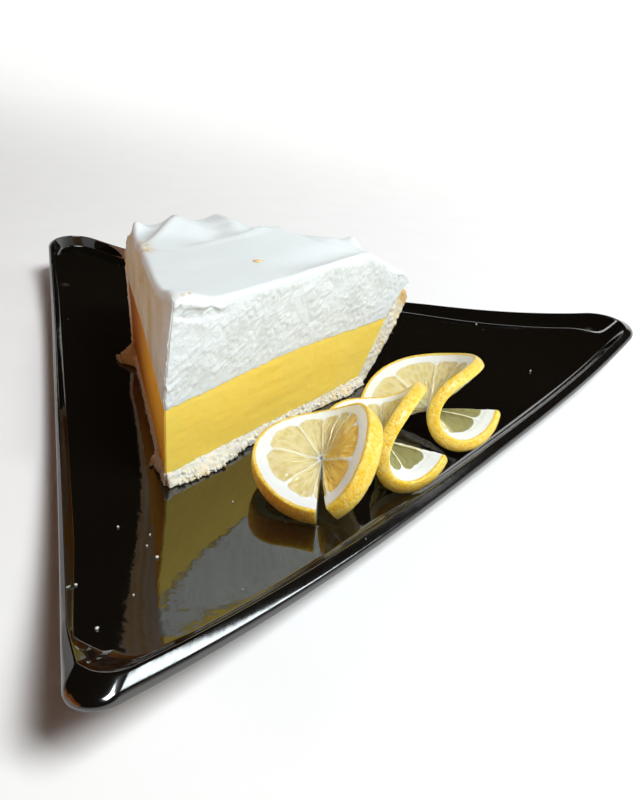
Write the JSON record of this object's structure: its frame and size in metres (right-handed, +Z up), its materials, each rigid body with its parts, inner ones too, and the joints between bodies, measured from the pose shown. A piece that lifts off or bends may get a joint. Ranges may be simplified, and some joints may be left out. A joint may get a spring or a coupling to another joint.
{
  "type": "lemon meringue pie slice on plate",
  "caption": "Wedge of lemon meringue pie on a black glazed triangular plate with lifted corners, beside slit and twisted lemon wheels.",
  "frame": {"origin": "middle of the plate's bounding box, on the surface that the plate stands on", "axes": "+Z up; +X along the plate's straight back edge, towards the diner's right; +Y from the near corner and the slice's tip towards the back edge"},
  "size_m": [0.2854, 0.2608, 0.0614],
  "materials": {
    "black_glaze": "glossy near-black glaze",
    "pastry": null,
    "lemon_curd": null,
    "meringue": null,
    "lemon": null
  },
  "bodies": {
    "root": {"plate": "black_glaze", "crust": "pastry", "filling": "lemon_curd", "meringue": "meringue", "lemon_twist_front": "lemon", "lemon_twist_middle": "lemon", "lemon_twist_back": "lemon"}
  },
  "joints": []
}
